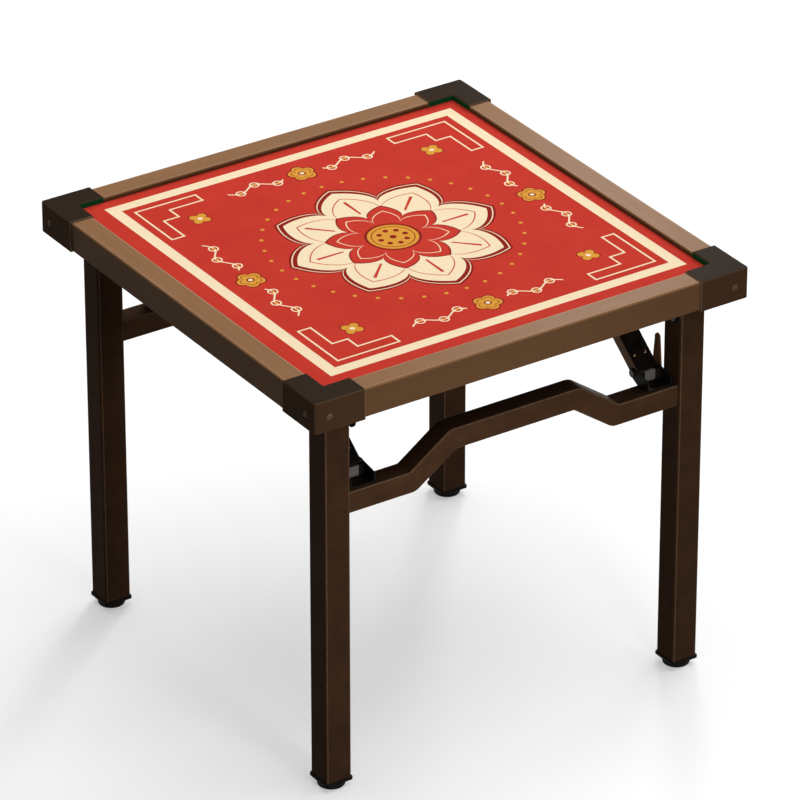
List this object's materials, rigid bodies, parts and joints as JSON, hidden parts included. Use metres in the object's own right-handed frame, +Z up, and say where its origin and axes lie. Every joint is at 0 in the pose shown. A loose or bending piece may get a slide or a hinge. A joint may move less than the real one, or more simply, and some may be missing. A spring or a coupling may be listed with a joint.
{
  "type": "folding game table",
  "caption": "Square folding game table with a rail-framed mat top, corner caps and two braced leg frames that fold flat under the board.",
  "frame": {"origin": "on the floor under the centre of the top", "axes": "+Z up, +X along the front rail to the right, +Y from the front leg frame to the back one"},
  "size_m": [0.8622, 0.8622, 0.78],
  "materials": {
    "rail": "satin brown extrusion",
    "cap": "finely grained charcoal",
    "board": "plain fibre board",
    "mat": "printed red mat",
    "tube": "glossy dark brown paint",
    "brace": "dark paint",
    "lever": "brown paint",
    "sheet": "black paint",
    "insert": "moulded nylon",
    "foot": "moulded black",
    "steel": "plated"
  },
  "bodies": {
    "table_top": {"board": "board", "brace_guide_back_left": "sheet", "brace_guide_back_right": "sheet", "brace_guide_front_left": "sheet", "brace_guide_front_right": "sheet", "cap_rivets": "steel", "corner_cap_back_left": "cap", "corner_cap_back_right": "cap", "corner_cap_front_left": "cap", "corner_cap_front_right": "cap", "guide_screws": "steel", "hinge_pins": "steel", "hinge_plate_back_left": "sheet", "hinge_plate_back_right": "sheet", "hinge_plate_front_left": "sheet", "hinge_plate_front_right": "sheet", "hinge_screws": "steel", "hinge_washers": "steel", "playing_mat": "mat", "rail_back": "rail", "rail_front": "rail", "rail_left": "rail", "rail_right": "rail"},
    "brace_back_left": {"brace_back_left": "brace", "brace_liner_back_left": "steel", "guide_pin_back_left": "steel"},
    "brace_back_right": {"brace_back_right": "brace", "brace_liner_back_right": "steel", "guide_pin_back_right": "steel"},
    "back_frame": {"brace_bracket_back_left": "sheet", "brace_bracket_back_right": "sheet", "brace_pins_back": "steel", "crossbar_back": "tube", "foot_back_left": "foot", "foot_back_right": "foot", "leg_back_left": "tube", "leg_back_right": "tube", "leg_inserts_back": "insert"},
    "front_frame": {"brace_bracket_front_left": "sheet", "brace_bracket_front_right": "sheet", "brace_pins_front": "steel", "crossbar_front": "tube", "foot_front_left": "foot", "foot_front_right": "foot", "leg_front_left": "tube", "leg_front_right": "tube", "leg_inserts_front": "insert"},
    "brace_front_left": {"brace_front_left": "brace", "brace_liner_front_left": "steel", "guide_pin_front_left": "steel"},
    "brace_front_right": {"brace_front_right": "brace", "brace_liner_front_right": "steel", "guide_pin_front_right": "steel"},
    "lever_back_left": {"lock_lever_back_left": "lever"},
    "lever_back_right": {"lock_lever_back_right": "lever"},
    "lever_front_left": {"lock_lever_front_left": "lever"},
    "lever_front_right": {"lock_lever_front_right": "lever"}
  },
  "joints": [
    {"name": "front_fold", "type": "hinge", "parent": "table_top", "child": "front_frame", "pos_m": [0, -0.371, 0.692], "axis": [1, 0, 0], "range_deg": [0, 90]},
    {"name": "back_fold", "type": "hinge", "parent": "table_top", "child": "back_frame", "pos_m": [0, 0.355, 0.65], "axis": [-1, 0, 0], "range_deg": [0, 90]},
    {"name": "brace_front_left_turn", "type": "hinge", "parent": "front_frame", "child": "brace_front_left", "pos_m": [-0.298, -0.322, 0.576], "axis": [1, 0, 0], "range_deg": [-128, 0]},
    {"name": "lever_front_left_turn", "type": "hinge", "parent": "brace_front_left", "child": "lever_front_left", "pos_m": [-0.298, -0.322, 0.576], "axis": [1, 0, 0], "range_deg": [-52, 0]},
    {"name": "brace_front_right_turn", "type": "hinge", "parent": "front_frame", "child": "brace_front_right", "pos_m": [0.298, -0.322, 0.576], "axis": [1, 0, 0], "range_deg": [-128, 0]},
    {"name": "lever_front_right_turn", "type": "hinge", "parent": "brace_front_right", "child": "lever_front_right", "pos_m": [0.298, -0.322, 0.576], "axis": [1, 0, 0], "range_deg": [-52, 0]},
    {"name": "brace_back_left_turn", "type": "hinge", "parent": "back_frame", "child": "brace_back_left", "pos_m": [-0.242, 0.322, 0.576], "axis": [-1, 0, 0], "range_deg": [-120, 0]},
    {"name": "lever_back_left_turn", "type": "hinge", "parent": "brace_back_left", "child": "lever_back_left", "pos_m": [-0.242, 0.322, 0.576], "axis": [-1, 0, 0], "range_deg": [-52, 0]},
    {"name": "brace_back_right_turn", "type": "hinge", "parent": "back_frame", "child": "brace_back_right", "pos_m": [0.242, 0.322, 0.576], "axis": [-1, 0, 0], "range_deg": [-120, 0]},
    {"name": "lever_back_right_turn", "type": "hinge", "parent": "brace_back_right", "child": "lever_back_right", "pos_m": [0.242, 0.322, 0.576], "axis": [-1, 0, 0], "range_deg": [-52, 0]}
  ],
  "couplings": [
    {"joint": "brace_front_left_turn", "follows": "front_fold", "ratio": -1.4222},
    {"joint": "lever_front_left_turn", "follows": "front_fold", "ratio": -0.57778},
    {"joint": "brace_front_right_turn", "follows": "front_fold", "ratio": -1.4222},
    {"joint": "lever_front_right_turn", "follows": "front_fold", "ratio": -0.57778},
    {"joint": "brace_back_left_turn", "follows": "back_fold", "ratio": -1.3333},
    {"joint": "lever_back_left_turn", "follows": "back_fold", "ratio": -0.57778},
    {"joint": "brace_back_right_turn", "follows": "back_fold", "ratio": -1.3333},
    {"joint": "lever_back_right_turn", "follows": "back_fold", "ratio": -0.57778}
  ]
}
